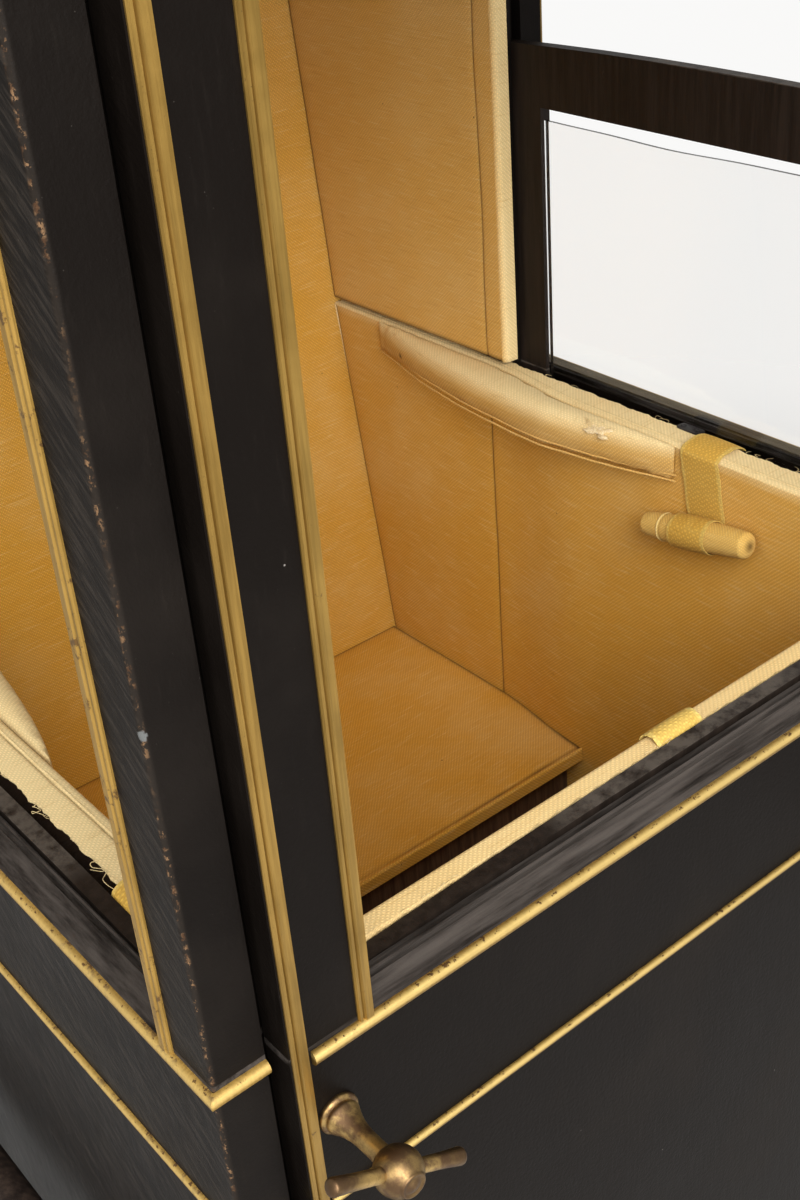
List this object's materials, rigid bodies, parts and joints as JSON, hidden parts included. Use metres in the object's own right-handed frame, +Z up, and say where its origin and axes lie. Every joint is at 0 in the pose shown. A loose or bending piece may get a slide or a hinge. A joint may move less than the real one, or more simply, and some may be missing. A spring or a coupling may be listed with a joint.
{
  "type": "sedan chair",
  "caption": "Closed one-seat cabin with padded lining, drop sashes, a hinged front door and a lifting vaulted roof, carried on side poles.",
  "frame": {"origin": "on the floor under the feet, midway between the sides and under the middle of the poles", "axes": "+Z up, +Y from the front door to the back along the poles, +X to the right seen from the front"},
  "size_m": [0.8866, 2.8, 1.597],
  "materials": {
    "black_wood": "black paint, satin, worn at the arrises",
    "black_leather": "black painted leather on board, satin",
    "bare_wood": "plain oiled board",
    "ochre_cloth": "yellow-ochre woven cloth",
    "sash_wood": "dark varnished",
    "glass": "old clear sheet glass",
    "gilt": "gilded carved moulding, rubbed",
    "pole_wood": "black paint",
    "iron": "black painted wrought iron",
    "brass": "aged, brown"
  },
  "bodies": {
    "cabin": {"base_frame": "black_wood", "feet": "black_wood", "header_back": "black_wood", "header_front": "black_wood", "post_front_left": "black_wood", "post_front_right": "black_wood", "post_rear_left": "black_wood", "post_rear_right": "black_wood", "waist_rail_left": "black_wood", "waist_rail_right": "black_wood", "header_left": "black_wood", "header_right": "black_wood", "panel_back_lower": "black_leather", "panel_back_upper": "black_leather", "panel_lower_left": "black_leather", "panel_lower_right": "black_leather", "quarter_panel_left": "black_leather", "quarter_panel_right": "black_leather", "floor_board": "bare_wood", "seat_riser": "bare_wood", "lining_back_lower": "ochre_cloth", "lining_back_upper": "ochre_cloth", "seat_board": "ochre_cloth", "lining_lower_left": "ochre_cloth", "lining_lower_right": "ochre_cloth", "quarter_pad_left": "ochre_cloth", "quarter_pad_right": "ochre_cloth", "arm_pad_left": "ochre_cloth", "arm_pad_right": "ochre_cloth", "strap_left": "ochre_cloth", "strap_right": "ochre_cloth", "sash_left": "sash_wood", "sash_right": "sash_wood", "side_glass": "glass", "side_toggles": "ochre_cloth", "gilt_back": "gilt", "gilt_left": "gilt", "gilt_right": "gilt", "pole_left": "pole_wood", "pole_right": "pole_wood", "brackets_left": "iron", "brackets_right": "iron", "hinges_frame": "brass"},
    "door": {"door_frame": "black_wood", "door_panel": "black_leather", "door_lining": "ochre_cloth", "door_strap": "ochre_cloth", "door_sash": "sash_wood", "door_glass": "glass", "door_toggle": "ochre_cloth", "door_gilt": "gilt", "door_handle": "brass", "door_hinges": "brass"},
    "roof": {"roof_rim": "black_wood", "roof_shell": "black_leather", "roof_headlining": "ochre_cloth", "roof_trim": "gilt", "roof_hinges": "brass"}
  },
  "joints": [
    {"name": "door_hinge", "type": "hinge", "parent": "cabin", "child": "door", "pos_m": [0.33975, -0.4305, 0.749], "axis": [0, 0, 1], "range_deg": [0, 90]},
    {"name": "roof_hinge", "type": "hinge", "parent": "cabin", "child": "roof", "pos_m": [0, 0.4816, 1.4425], "axis": [-1, 0, 0], "range_deg": [0, 95]}
  ]
}
